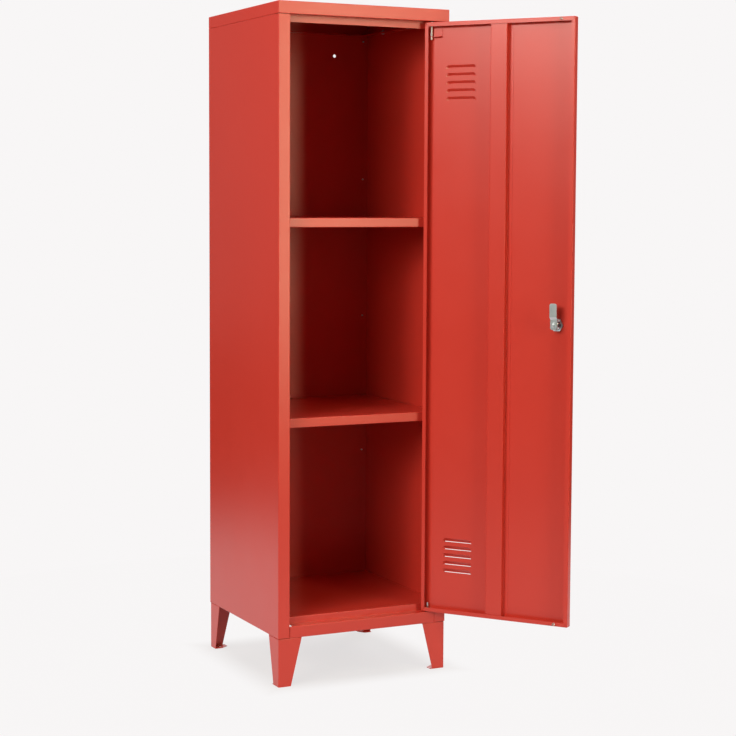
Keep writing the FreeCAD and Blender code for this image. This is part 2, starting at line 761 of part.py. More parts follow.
def make_door_panel():
    """Pan door with lips all round, two groups of louvres, and holes for the pins and the lock."""
    body = new_door_body("door_panel")
    tray(body, "XZ_Plane", f"(-{lip_plane})", (free_edge, "pin_inset", "0", door_height),
         "door_depth", ("door_lip",) * 4)
    for level in ("0", f"({door_height} - sheet)"):
        holes(body, "XY_Plane", level, [("0", "0")], pin_hole, "sheet")
    lock_hole = sketch_on(body, "XZ_Plane", f"(-{skin_face})")
    flatted_circle(lock_hole, lock_x, lock_z, "lock_body + 2 * screw_clear", "lock_flats + 2 * screw_clear")
    cut(body, lock_hole, "sheet")
    cut_mitres(body)
    group_height = "(louvre_height + (louvre_rows - 1) * louvre_pitch)"
    add_louvres(body, "louvre_margin")
    add_louvres(body, f"({door_height} - louvre_margin - {group_height})")


def cut_mitres(body):
    """A slit across each corner where two of the door's lips meet."""
    slits = sketch_on(body, "XZ_Plane", f"(-{lip_plane})")
    for edge, across in ((free_edge, 1), ("pin_inset", -1)):
        for end, along in (("0", 1), (door_height, -1)):
            outer = f"({edge} + {across} * {bend})"
            inner = f"({edge} + {across} * (door_lip + mitre_slit))"
            near = f"({end} + {along} * {bend})"
            far = f"({end} + {along} * (door_lip + mitre_slit))"
            width = f"{across} * mitre_slit"
            outline(slits, [(f"({outer} - {width})", near), (f"({outer} + {width})", near),
                            (f"({inner} + {width})", far), (f"({inner} - {width})", far)])
    cut(body, slits, "sheet")


def add_louvres(body, lowest):
    """A column of louvres: hoods with round shoulders pressed out of the skin, each open along
    its lower edge."""
    middle = "(pin_inset - louvre_inset)"

    def section(depth, width, low, high, radius):
        sketch = sketch_on(body, "XZ_Plane", f"({pin_setback} + {depth})")
        left = f"({middle} - {width} / 2)"
        right = f"({middle} + {width} / 2)"
        outline(sketch, [(left, low), (right, low), (right, high, radius), (left, high, radius)])
        return sketch

    def loft(kind, base, tip):
        feature = body.newObject(kind, "Loft")
        feature.Profile = base
        feature.Sections = [tip]
        feature.Ruled = True
        document.recompute()
        return feature

    top = f"({lowest} + louvre_height)"
    crest = f"({lowest} + crest_height)"
    hood = loft("PartDesign::AdditiveLoft",
                section("(-sheet / 2)", "louvre_width", lowest, top, "louvre_round"),
                section("louvre_depth", "crest_width", lowest, crest, "crest_round"))
    slot = f"({lowest} - lance_gap)"
    hollow = loft("PartDesign::SubtractiveLoft",
                  section("(-2 * sheet)", "(louvre_width - 2 * sheet)", slot, f"({top} - sheet)",
                          "(louvre_round - sheet)"),
                  section("(louvre_depth - sheet)", "(crest_width - 2 * sheet)", slot, f"({crest} - sheet)",
                          "(crest_round - sheet)"))
    column = body.newObject("PartDesign::LinearPattern", "Louvres")
    column.Originals = [hood, hollow]
    column.Direction = (origin_item(body, "Z_Axis"), [""])
    column.Mode = "Spacing"
    column.setExpression("Offset", expression("louvre_pitch"))
    column.setExpression("Occurrences", expression("louvre_rows"))
    body.Tip = column
    document.recompute()


def make_door_buffers():
    """Two clear buffers on the door's lips, which meet the stops when the door is closed."""
    body = new_door_body("door_buffers")
    height = f"({stop_depth} - door_depth - fit)"
    tip = f"({lip_plane} + {height})"
    x = f"({free_edge} + buffer_inset)"
    section = sketch_on(body, "XZ_Plane", f"(-{tip})")
    circles(section, [(x, "(door_lip / 2)"), (x, f"({door_height} - door_lip / 2)")], "buffer_width")
    pad(body, section, height)
    tip_y = number(tip)

    def on_tip(edge):
        return edge.Curve.TypeId == "Part::GeomCircle" and abs(edge.Curve.Center.y - tip_y) < 1e-4

    round_edges(body, on_tip, "buffer_round")


def make_door_stiffener():
    """Hat section standing on the inside of the skin, between the door's end flanges."""
    body = new_door_body("door_stiffener")
    middle = "(pin_inset - stiffener_inset)"
    crown = f"({skin_face} + stiffener_height - sheet)"
    section = sketch_on(body, "XY_Plane", "(sheet + fit)")
    folded(section, [
        (f"({middle} + stiffener_face / 2 + stiffener_brim)", skin_face),
        (f"({middle} + stiffener_face / 2)", skin_face),
        (f"({middle} + stiffener_face / 2)", crown),
        (f"({middle} - stiffener_face / 2)", crown),
        (f"({middle} - stiffener_face / 2)", skin_face),
        (f"({middle} - stiffener_face / 2 - stiffener_brim)", skin_face),
    ], "sheet", -1)
    pad(body, section, f"{door_height} - 2 * (sheet + fit)")


def make_upper_hinge():
    """Guide bracket inside the door's top corner, and the pin that slides in it."""
    bracket = new_door_body("upper_hinge_bracket")
    foot = f"({door_height} - guide_drop)"
    plate = sketch_on(bracket, "XZ_Plane", f"(-({skin_face} + guide_sheet))")
    left = "(-guide_near - guide_width)"
    right = "(-guide_near)"
    top = f"({foot} + guide_height)"
    outline(plate, [(left, foot), (right, foot), (right, top, "guide_round"), (left, top, "guide_round")])
    pad(bracket, plate, "guide_sheet")
    rim = "(pin_width / 2 + guide_rim)"
    tab = sketch_on(bracket, "XY_Plane", foot)
    outline(tab, [(left, skin_face), (rim, skin_face), (rim, rim, "guide_round"), (left, rim, "guide_round")])
    pad(bracket, tab, "guide_sheet")
    holes(bracket, "XY_Plane", foot, [("0", "0")], pin_hole, "guide_sheet")
    pin = new_door_body("upper_hinge_pin")
    low = f"({door_height} - pin_drop)"
    high = f"({door_height} + door_top_gap + pin_reach)"
    radius = "(pin_width / 2)"
    turned(pin, [("0", low), (f"({radius} - pin_chamfer)", low), (radius, f"({low} + pin_chamfer)"),
                 (radius, f"({high} - pin_chamfer)"), (f"({radius} - pin_chamfer)", high), ("0", high)])


def make_lower_hinge_pin():
    """Pin with a collar on the door's bottom flange, turning in the lower bush."""
    pin = new_door_body("lower_hinge_pin")
    radius = "(pin_width / 2)"
    low = "(-door_bottom_gap - bush_length)"
    collar_top = "(sheet + pin_collar_height)"
    turned(pin, [("0", low), (f"({radius} - pin_chamfer)", low), (radius, f"({low} + pin_chamfer)"),
                 (radius, "sheet"), ("(pin_collar / 2)", "sheet"), ("(pin_collar / 2)", collar_top),
                 (radius, collar_top), (radius, "(pin_rise - pin_chamfer)"),
                 (f"({radius} - pin_chamfer)", "pin_rise"), ("0", "pin_rise")])


def make_lock_housing():
    """Bezel and barrel of the lock, bored for the plug, and the nut that holds it in the skin."""
    centre = [(lock_x, lock_z)]
    housing = new_door_body("lock_housing")
    bezel = sketch_on(housing, "XZ_Plane", pin_setback)
    circles(bezel, centre, "bezel_width")
    pad(housing, bezel, "bezel_height")
    front = number(pin_setback) + number("bezel_height")

    def on_rim(edge):
        return edge.Curve.TypeId == "Part::GeomCircle" and abs(edge.Curve.Center.y + front) < 1e-4

    round_edges(housing, on_rim, "bezel_round")
    barrel = sketch_on(housing, "XZ_Plane", f"(-{lock_rear})")
    flatted_circle(barrel, lock_x, lock_z, "lock_body", "lock_flats")
    pad(housing, barrel, "lock_body_length")
    holes(housing, "XZ_Plane", f"(-{lock_rear})", centre, "plug_width + 2 * pin_play",
          "lock_body_length + bezel_height")
    holes(housing, "XZ_Plane", f"(-{bezel_front} - plug_head_height)", centre, "plug_head + 2 * pin_play",
          "plug_head_height")
    nut = new_door_body("lock_nut")
    section = sketch_on(nut, "XZ_Plane", f"(-{skin_face} - lock_nut_height)")
    hexagons(section, centre, "lock_nut_width")
    circles(section, centre, "lock_body + 2 * pin_play")
    pad(nut, section, "lock_nut_height")


def make_lock_plug():
    """Plug with its keyway in front and a square tang behind, tapped for the cam's screw."""
    centre = [(lock_x, lock_z)]
    plug = new_door_body("lock_plug")
    tang_end = f"({cam_front} + cam_sheet)"
    seat = f"({bezel_front} + plug_head_height)"
    core = sketch_on(plug, "XZ_Plane", f"(-{lock_rear})")
    circles(core, centre, "plug_width")
    pad(plug, core, f"{lock_rear} - {seat}")
    head = sketch_on(plug, "XZ_Plane", f"(-{seat})")
    circles(head, centre, "plug_head")
    pad(plug, head, "plug_head_height + plug_proud")
    tang = sketch_on(plug, "XZ_Plane", f"(-{tang_end})")
    outline(tang, square_about(lock_x, lock_z, "tang_width"))
    pad(plug, tang, f"{tang_end} - {lock_rear}")
    keyway = sketch_on(plug, "XZ_Plane", f"(-{bezel_front} + plug_proud - keyway_depth)")
    outline(keyway, rectangle(f"({lock_x} - keyway_width / 2)", f"({lock_x} + keyway_width / 2)",
                              f"({lock_z} - keyway_length / 2)", f"({lock_z} + keyway_length / 2)"))
    cut(plug, keyway, "keyway_depth")
    holes(plug, "XZ_Plane", f"(-{tang_end})", centre, "cam_screw_shank + 2 * pin_play", "cam_screw_length")


def square_about(x, z, width):
    half = f"({width} / 2)"
    return rectangle(f"({x} - {half})", f"({x} + {half})", f"({z} - {half})", f"({z} + {half})")


def make_lock_cam():
    """Joggled cam on the plug's tang, pointing up, with a washer and a hexagon screw."""
    cam = new_door_body("lock_cam")
    bend = f"({lock_z} + cam_hub)"
    straight = f"({bend} + cam_joggle)"
    tail = f"({lock_z} - cam_tail)"
    tip = f"({lock_z} + cam_length)"
    section = sketch_on(cam, "YZ_Plane", f"({lock_x} - cam_width / 2)")
    outline(section, [
        (cam_front, tail), (f"({cam_front} + cam_sheet)", tail), (f"({cam_front} + cam_sheet)", bend),
        (f"({cam_tip_front} + cam_sheet)", straight), (f"({cam_tip_front} + cam_sheet)", tip),
        (cam_tip_front, tip), (cam_tip_front, straight), (cam_front, bend),
    ])
    pad(cam, section, "cam_width")
    ends = [number(tail), number(tip)]

    def on_corner(edge):
        return edge.BoundBox.YLength > 1 and edge.BoundBox.ZLength < 1e-4 and any(
            abs(edge.BoundBox.ZMin - end) < 1e-4 for end in ends)

    round_edges(cam, on_corner, "cam_round")
    tang_hole = sketch_on(cam, "XZ_Plane", f"(-{cam_front} - cam_sheet)")
    outline(tang_hole, square_about(lock_x, lock_z, "(tang_width + 2 * pin_play)"))
    cut(cam, tang_hole, "cam_sheet")
    centre = [(lock_x, lock_z)]
    washer_seat = f"({cam_front} + cam_sheet)"
    washer = new_door_body("cam_washer")
    ring = sketch_on(washer, "XZ_Plane", f"(-{washer_seat} - washer_sheet)")
    circles(ring, centre, "washer_width")
    circles(ring, centre, "cam_screw_shank + 2 * screw_clear")
    pad(washer, ring, "washer_sheet")
    screw = new_door_body("cam_screw")
    head_seat = f"({washer_seat} + washer_sheet)"
    head = sketch_on(screw, "XZ_Plane", f"(-{head_seat} - cam_screw_head_height)")
    hexagons(head, centre, "cam_screw_head")
    pad(screw, head, "cam_screw_head_height")
    shank = sketch_on(screw, "XZ_Plane", f"(-{head_seat})")
    circles(shank, centre, "cam_screw_shank")
    pad(screw, shank, "cam_screw_length")


def make_cabinet():
    make_side_panel("left_side_panel", -1)
    make_side_panel("right_side_panel", 1)
    make_back_panel()
    make_top_panel()
    make_bottom_panel()
    for name, level in (("lower", lower_level), ("upper", upper_level)):
        make_shelf(f"{name}_shelf", level)
        make_shelf_brackets(f"{name}_shelf_brackets", level)
    for row, along in (("front", -1), ("rear", 1)):
        for hand, across in (("left", -1), ("right", 1)):
            make_leg(f"{row}_{hand}_leg", across, along)
    make_fasteners()
    make_hinge_bushes()


def make_door():
    make_door_panel()
    make_door_buffers()
    make_door_stiffener()
    make_upper_hinge()
    make_lower_hinge_pin()
    make_lock_housing()
    make_lock_plug()
    make_lock_cam()


def write_parts():
    document.recompute()
    for item in document.Objects:
        if {"Invalid", "Error"} & set(item.State):
            raise RuntimeError(f"{item.Label} failed: {item.State}")
    bodies = [item for item in document.Objects if item.TypeId == "PartDesign::Body"]
    for body in bodies:
        if body.Shape.isNull() or not body.Shape.isValid():
            raise RuntimeError(f"{body.Label} has no valid shape")
    os.makedirs("parts", exist_ok=True)
    for body in bodies:
        body.Shape.exportStep(f"parts/{body.Label}.step")
        print(body.Label, len(body.Shape.Solids), round(body.Shape.Volume, 1))


make_cabinet()
make_door()
write_parts()
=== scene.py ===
import json
import bmesh
import bpy
import numpy as np
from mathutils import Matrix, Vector


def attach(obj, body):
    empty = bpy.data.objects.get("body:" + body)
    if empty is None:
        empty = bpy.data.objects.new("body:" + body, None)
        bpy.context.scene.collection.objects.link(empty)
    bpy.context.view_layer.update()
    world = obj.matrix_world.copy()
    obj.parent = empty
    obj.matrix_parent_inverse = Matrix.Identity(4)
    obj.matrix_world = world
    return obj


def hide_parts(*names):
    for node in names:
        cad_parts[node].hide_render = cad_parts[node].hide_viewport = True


# Looks of a red single locker: powder coat, plated fittings, screws and studio. Lengths are in
# metres, or in millimetres inside the pieces' own dictionaries. +Z is up and the front faces -Y.

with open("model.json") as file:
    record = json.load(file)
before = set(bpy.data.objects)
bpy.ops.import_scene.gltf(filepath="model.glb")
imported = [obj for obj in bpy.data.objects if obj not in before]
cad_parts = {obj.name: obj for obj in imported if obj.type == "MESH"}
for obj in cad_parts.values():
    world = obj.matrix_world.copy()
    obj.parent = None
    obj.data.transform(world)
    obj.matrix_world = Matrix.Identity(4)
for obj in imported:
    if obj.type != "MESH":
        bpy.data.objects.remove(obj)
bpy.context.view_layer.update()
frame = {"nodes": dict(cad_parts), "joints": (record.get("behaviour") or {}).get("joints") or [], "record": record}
record = frame["record"]
joints = {joint["name"]: joint for joint in frame["joints"]}
slotOf = {part["node"]: part["material_slot"] for part in record["subparts"]}
bodyOf = {node: body for body, nodes in record["behaviour"]["bodies"].items() for node in nodes}
millimetre = 0.001
up = np.array([0.0, 0.0, 1.0])
forward = np.array([0.0, -1.0, 0.0])
rightward = np.array([1.0, 0.0, 0.0])


def linearColour(hexText):
    # sRGB hex to the linear RGBA that shaders take
    srgb = np.array([int(hexText[i:i + 2], 16) for i in (1, 3, 5)]) / 255
    linear = np.where(srgb <= 0.04045, srgb / 12.92, ((srgb + 0.055) / 1.055) ** 2.4)
    return (*linear, 1.0)


def addNode(tree, kind, settings, links=None):
    # settings name sockets or the node's own properties; links map a socket to the output that feeds it
    node = tree.nodes.new(kind)
    for name, value in settings.items():
        if hasattr(node, str(name)):
            setattr(node, name, value)
        else:
            node.inputs[name].default_value = value
    for name, source in (links or {}).items():
        tree.links.new(source, node.inputs[name])
    return node


def addNoise(tree, place, size, detail, roughness=0.5):
    # features are about size millimetres across: about one unit at scale 1, and a unit is a metre
    return addNode(tree, "ShaderNodeTexNoise",
                   {"Scale": 1 / (size * millimetre), "Detail": detail, "Roughness": roughness},
                   {"Vector": place}).outputs["Fac"]


# a colour mix has several sockets of the same name, so they go by number
mixShare, mixFirst, mixSecond, mixColour = 0, 6, 7, 2


def addMix(tree, share, first, second):
    # from one hex colour to the other as share goes from 0 to 1
    return addNode(tree, "ShaderNodeMix",
                   {"data_type": "RGBA", mixFirst: linearColour(first), mixSecond: linearColour(second)},
                   {mixShare: share}).outputs[mixColour]


def addRange(tree, value, span, result, curve):
    # takes a value's span to the two ends of result, along a straight line or a smooth step
    return addNode(tree, "ShaderNodeMapRange",
                   {"interpolation_type": curve, "From Min": span[0], "From Max": span[1],
                    "To Min": result[0], "To Max": result[1]},
                   {"Value": value}).outputs["Result"]


def addMath(tree, operation, first, second):
    return addNode(tree, "ShaderNodeMath", {"operation": operation}, {0: first, 1: second}).outputs[0]


def addBump(tree, height, strength, depth):
    # depth is in millimetres
    return addNode(tree, "ShaderNodeBump", {"Strength": strength, "Distance": depth * millimetre},
                   {"Height": height}).outputs["Normal"]


def newMaterial(name, shaderSettings):
    # a material with one principled shader; returns it, its tree, the shader and Object coordinates
    material = bpy.data.materials.new(name)
    material.use_nodes = True
    tree = material.node_tree
    tree.nodes.clear()
    shader = addNode(tree, "ShaderNodeBsdfPrincipled", shaderSettings)
    addNode(tree, "ShaderNodeOutputMaterial", {}, {"Surface": shader.outputs["BSDF"]})
    place = addNode(tree, "ShaderNodeTexCoord", {}).outputs["Object"]
    return material, tree, shader, place


def feedShader(tree, shader, sources):
    for name, source in sources.items():
        tree.links.new(source, shader.inputs[name])


# nearly all values of a noise lie in this span
noiseSpan = (0.3, 0.7)

# Polyester powder coat on steel sheet: sprayed powder melts into one thick even skin, so the eye
# gets a deep flat red, a satin sheen and a very fine orange peel, with soft clouds in the gloss.
powderCoat = {
    "shader": {"IOR": 1.5},
    "deepRed": "#c8382c",
    "lightRed": "#cf3e31",
    "cloudSize": 240,
    "cloudDetail": 3.0,
    "glossCloudSize": 60,
    "glossCloudDetail": 4.0,
    "roughness": (0.28, 0.31),
    "peelSize": 2.4,
    "peelDetail": 2.0,
    "peelRoughness": 0.45,
    "peelDepth": 0.05,  # deeper than the real peel, so that it shows close up
    "peelStrength": 1.0,
}


def makePowderCoat(name, coat):
    material, tree, shader, place = newMaterial(name, coat["shader"])
    clouds = addNoise(tree, place, coat["cloudSize"], coat["cloudDetail"])
    glossClouds = addNoise(tree, place, coat["glossCloudSize"], coat["glossCloudDetail"])
    peel = addNoise(tree, place, coat["peelSize"], coat["peelDetail"], coat["peelRoughness"])
    feedShader(tree, shader, {
        "Base Color": addMix(tree, clouds, coat["deepRed"], coat["lightRed"]),
        "Roughness": addRange(tree, glossClouds, noiseSpan, coat["roughness"], "LINEAR"),
        "Normal": addBump(tree, peel, coat["peelStrength"], coat["peelDepth"]),
    })
    return material


# Bright zinc plate on steel: electroplated, cool silver with faint cloudy passivation.
zincPlate = {
    "shader": {"Metallic": 1.0},
    "cool": "#d8e4e7", "warm": "#e1e8e9", "cloudSize": 7, "cloudDetail": 4.0, "roughness": (0.35, 0.41),
    "grainSize": 0.5, "grainDetail": 3.0, "grainStrength": 0.08, "grainDepth": 0.02,
}
# Chrome plate on a zinc casting: polished, a near mirror with a slight blue.
chromePlate = {
    "shader": {"Metallic": 1.0},
    "cool": "#cfd4d8", "warm": "#dedfe0", "cloudSize": 12, "cloudDetail": 4.0, "roughness": (0.05, 0.11),
    "grainSize": 1.2, "grainDetail": 3.0, "grainStrength": 0.03, "grainDepth": 0.02,
}


def makePlate(name, plate):
    material, tree, shader, place = newMaterial(name, plate["shader"])
    clouds = addNoise(tree, place, plate["cloudSize"], plate["cloudDetail"])
    grain = addNoise(tree, place, plate["grainSize"], plate["grainDetail"])
    feedShader(tree, shader, {
        "Base Color": addMix(tree, clouds, plate["cool"], plate["warm"]),
        "Roughness": addRange(tree, clouds, noiseSpan, plate["roughness"], "LINEAR"),
        "Normal": addBump(tree, grain, plate["grainStrength"], plate["grainDepth"]),
    })
    return material


# Black nylon, moulded: soot-dark with a dull waxy sheen, a shade greyer where it has been rubbed.
blackNylon = {
    "shader": {"IOR": 1.53, "Roughness": 0.42},
    "main": "#151517", "clouded": "#232325", "cloudSize": 4, "cloudDetail": 3.0,
}
# Clear polyurethane, cast in drops: water-clear, soft gloss, faintly warm.
clearRubber = {
    "shader": {"IOR": 1.48, "Roughness": 0.16, "Transmission Weight": 0.8},
    "main": "#f3f0ea", "clouded": "#e9e2d6", "cloudSize": 3, "cloudDetail": 2.0,
}


def makePlastic(name, plastic):
    material, tree, shader, place = newMaterial(name, plastic["shader"])
    clouds = addNoise(tree, place, plastic["cloudSize"], plastic["cloudDetail"])
    feedShader(tree, shader, {"Base Color": addMix(tree, clouds, plastic["main"], plastic["clouded"])})
    return material


finishes = {
    "red_powder_coat": makePowderCoat("redPowderCoat", powderCoat),
    "zinc_plate": makePlate("brightZincPlate", zincPlate),
    "chrome_plate": makePlate("chromePlate", chromePlate),
    "black_nylon": makePlastic("blackNylon", blackNylon),
    "clear_rubber": makePlastic("clearRubber", clearRubber),
}
for name, node in frame["nodes"].items():
    node.data.materials.clear()
    node.data.materials.append(finishes[slotOf[name]])
print("finishes made:", ", ".join(sorted(finishes)))


def nodePoints(name):
    # vertices of a CAD node, one row each
    mesh = frame["nodes"][name].data
    flat = np.empty(len(mesh.vertices) * 3)
    mesh.vertices.foreach_get("co", flat)
    return flat.reshape(-1, 3)


def looseGroups(name, spread):
    # splits a node of many small solids: points nearer to the first one left than spread go together
    points = nodePoints(name)
    groups = []
    while len(points):
        near = np.linalg.norm(points - points[0], axis=1) < spread * millimetre
        groups.append(points[near])
        points = points[~near]
    return groups


def boxMiddles(groups):
    return np.array([(group.min(axis=0) + group.max(axis=0)) / 2 for group in groups])


def placeSkins(skin, origins, axis, side, spins):
    # copies of a skin of (across, along, depth) points in millimetres, each spun about its own axis
    cosine = np.cos(spins)[:, None, None]
    sine = np.sin(spins)[:, None, None]
    across = skin[..., 0] * cosine - skin[..., 1] * sine
    along = skin[..., 0] * sine + skin[..., 1] * cosine
    depth = np.broadcast_to(skin[..., 2], across.shape)
    other = np.cross(axis, side)
    way = across[..., None] * side + along[..., None] * other + depth[..., None] * axis
    return np.asarray(origins)[:, None, None, :] + way * millimetre


# points nearer than this many metres are one, and steeper edges than this are sharp
mergeDistance = 1e-6
sharpAngle = np.radians(32)


def makePiece(name, points, node):
    # points are (copies, rows, columns, 3); the columns close into rings, equal points are merged
    copies, rows, columns = points.shape[:3]
    row, column = np.meshgrid(np.arange(rows - 1), np.arange(columns), indexing="ij")
    after = (column + 1) % columns
    corners = np.stack([row * columns + column, row * columns + after,
                        (row + 1) * columns + after, (row + 1) * columns + column], axis=-1).reshape(-1, 4)
    faces = (corners[None] + np.arange(copies)[:, None, None] * rows * columns).reshape(-1, 4)
    mesh = bpy.data.meshes.new(name)
    mesh.from_pydata(points.reshape(-1, 3).tolist(), [], faces.tolist())
    work = bmesh.new()
    work.from_mesh(mesh)
    bmesh.ops.remove_doubles(work, verts=work.verts, dist=mergeDistance)
    bmesh.ops.recalc_face_normals(work, faces=work.faces)
    work.to_mesh(mesh)
    work.free()
    mesh.shade_smooth()
    mesh.set_sharp_from_angle(angle=sharpAngle)
    mesh.materials.append(finishes[slotOf[node]])
    piece = bpy.data.objects.new(name, mesh)
    bpy.context.scene.collection.objects.link(piece)
    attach(piece, bodyOf[node])
    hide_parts(node)


def ringAngles(columns):
    return np.linspace(0, 2 * np.pi, columns, endpoint=False)


def roundSkin(radius, depth, angle):
    # radius and depth per row and column become points round the axis
    radius, depth = np.broadcast_arrays(radius, depth)
    return np.stack([radius * np.cos(angle), radius * np.sin(angle), depth], axis=-1)


# a cross slot's flanks slope over this many millimetres, and its floor rises over this share of its reach
recessFlank = 0.3
recessRise = 0.6


def crossRecess(radius, angle, recess):
    # depth of a cross slot: two arms with steep flanks, each running out towards its ends
    across = np.abs(radius * np.cos(angle))
    along = np.abs(radius * np.sin(angle))

    def arm(beside, ahead):
        flank = np.clip((recess["recessWidth"] / 2 - beside) / recessFlank + 0.5, 0, 1)
        return flank * np.clip((recess["recessReach"] - ahead) / (recessRise * recess["recessReach"]), 0, 1)

    return recess["recessDepth"] * np.maximum(arm(across, along), arm(along, across))


def threadRadius(depth, angle, thread):
    # a helix: the ridge's height is a triangle wave of depth over pitch less the turn
    phase = (depth / thread["pitch"] - angle / (2 * np.pi)) % 1
    return thread["shankWidth"] / 2 - thread["threadDepth"] * np.abs(2 * phase - 1)


rowsPerPitch = 7


def threadDepths(thread):
    # the levels of a thread's rows, as a column
    return np.linspace(0, thread["length"], int(thread["length"] / thread["pitch"] * rowsPerPitch))[:, None]


def shankRows(thread, angle):
    # thread from under the head to the tip, drawn in over the last millimetres, closed at a point
    depth = threadDepths(thread)
    taper = np.clip((thread["length"] - depth) / thread["point"], 0, 1)
    radius = threadRadius(depth, angle, thread) * (thread["tipShare"] + (1 - thread["tipShare"]) * taper)
    radius = np.concatenate([radius, np.zeros((1, len(angle)))])
    depth = np.concatenate([depth, depth[-1:]]) * np.ones_like(angle)
    return radius, depth


# Cross-recess pan-head machine screws of the legs, the cap and the shelves. The spread is more than a
# screw's own length and less than the way to the next one; each is turned by spinStep from the last.
machineScrew = {
    "headWidth": 9.0, "headHeight": 2.6, "headFullness": 3.0,
    "recessWidth": 1.3, "recessReach": 2.4, "recessDepth": 1.5,
    "shankWidth": 5.0, "length": 8.0, "pitch": 0.8, "threadDepth": 0.45, "point": 0.6, "tipShare": 0.85,
    "spread": 16, "spinStep": 2.4,
}
# Sharp tapping screws of the back panel.
tappingScrew = {
    "headWidth": 7.5, "headHeight": 2.2, "headFullness": 3.0,
    "recessWidth": 1.1, "recessReach": 2.0, "recessDepth": 1.3,
    "shankWidth": 3.9, "length": 6.5, "pitch": 1.3, "threadDepth": 0.6, "point": 2.6, "tipShare": 0.2,
    "spread": 16, "spinStep": 2.4,
}


def panScrewSkin(screw, columns=48, headRows=24):
    # rows run from the middle of the head over a superellipse crown, then down the thread
    angle = ringAngles(columns)
    turn = np.linspace(0, np.pi / 2, headRows)[:, None]
    power = 2 / screw["headFullness"]
    headRadius = screw["headWidth"] / 2 * np.sin(turn) ** power * np.ones_like(angle)
    headDepth = screw["headHeight"] * (1 - np.cos(turn) ** power)
    headDepth = headDepth + crossRecess(headRadius, angle, screw)
    radius, depth = shankRows(screw, angle)
    return np.concatenate([roundSkin(headRadius, headDepth, angle),
                           roundSkin(radius, depth + screw["headHeight"], angle)])


def makeScrews(name, node, screw, axis):
    # one screw for each solid of the node; axis runs from head to tip
    groups = looseGroups(node, screw["spread"])
    heads = boxMiddles(groups)
    starts = np.array([(group @ axis).min() for group in groups])
    origins = heads + (starts - heads @ axis)[:, None] * axis
    spins = screw["spinStep"] * np.arange(len(groups))
    makePiece(name, placeSkins(panScrewSkin(screw), origins, axis, rightward, spins), node)


makeScrews("legScrews", "leg_screws", machineScrew, up)
makeScrews("capScrews", "cap_screws", machineScrew, up)
makeScrews("shelfScrews", "shelf_screws", machineScrew, up)
makeScrews("backScrews", "back_panel_screws", tappingScrew, forward)
print("screws made")

# Hexagon nuts: small ones on the screws, a large thin one on the lock's barrel.
screwNut = {"width": 8.0, "height": 4.0, "bore": 5.1, "edge": 0.35, "faceShare": 0.96,
            "spread": 12, "spinStep": 0.9}
barrelNut = {"width": 24.0, "height": 4.0, "bore": 18.1, "edge": 0.5, "faceShare": 0.96}
# slope of the cone that takes the corners off a hexagon
cornerSlope = np.tan(np.radians(30))


def hexRadius(angle, width):
    # reach of a hexagon's flats at an angle
    return width / 2 / np.cos((angle % (np.pi / 3)) - np.pi / 6)


def nutSkin(nut, columns=72):
    # a closed ring: bore, lower face, corners taken off by a cone, flats, the same above
    angle = ringAngles(columns)
    flats = hexRadius(angle, nut["width"])
    face = nut["faceShare"] * nut["width"] / 2 * np.ones_like(angle)
    bore = nut["bore"] / 2 * np.ones_like(angle)
    edge = nut["edge"]
    height = nut["height"]
    drop = (flats - face) * cornerSlope
    radius = np.stack([bore, bore + edge, face, flats, flats, face, bore + edge, bore, bore])
    level = np.zeros_like(angle)
    depth = np.stack([level + edge, level, level, drop, height - drop, level + height, level + height,
                      level + height - edge, level + edge])
    return roundSkin(radius, depth, angle)


def makeNuts(name, node, nut):
    # one nut for each solid of the node, standing on its lowest point
    groups = looseGroups(node, nut["spread"])
    origins = boxMiddles(groups)
    origins[:, 2] = [group[:, 2].min() for group in groups]
    spins = nut["spinStep"] * np.arange(len(groups))
    makePiece(name, placeSkins(nutSkin(nut), origins, up, rightward, spins), node)


makeNuts("legNuts", "leg_nuts", screwNut)
makeNuts("capNuts", "cap_nuts", screwNut)

# The lock's housing: polished bezel outside, dished a little to the seat of the plug, and a
# threaded barrel with two flats inside.
lockBarrel = {
    "bezelWidth": 23.0, "bezelHeight": 3.0, "bezelRound": 1.0, "dish": 0.15,
    "seatWidth": 15.12, "seatDepth": 2.0, "shankWidth": 18.0, "length": 17.0, "flats": 16.0,
    "pitch": 1.0, "threadDepth": 0.5, "bore": 12.12, "endEdge": 0.8,
}
# The hexagon screw that holds the cam.
camBolt = {
    "width": 7.0, "headHeight": 2.8, "faceShare": 0.94, "crown": 0.25, "turn": 0.3,
    "recessWidth": 1.1, "recessReach": 2.1, "recessDepth": 1.1,
    "shankWidth": 4.0, "length": 9.0, "pitch": 0.7, "threadDepth": 0.4, "point": 0.6, "tipShare": 0.8,
}
lockAxis = np.array(joints["lock_turn"]["axis"], float)
lockAxis = lockAxis / np.linalg.norm(lockAxis)
lockCentre = np.array(joints["lock_turn"]["pos_m"], float)
doorSide = np.cross(up, lockAxis)
smallCosine = 1e-6


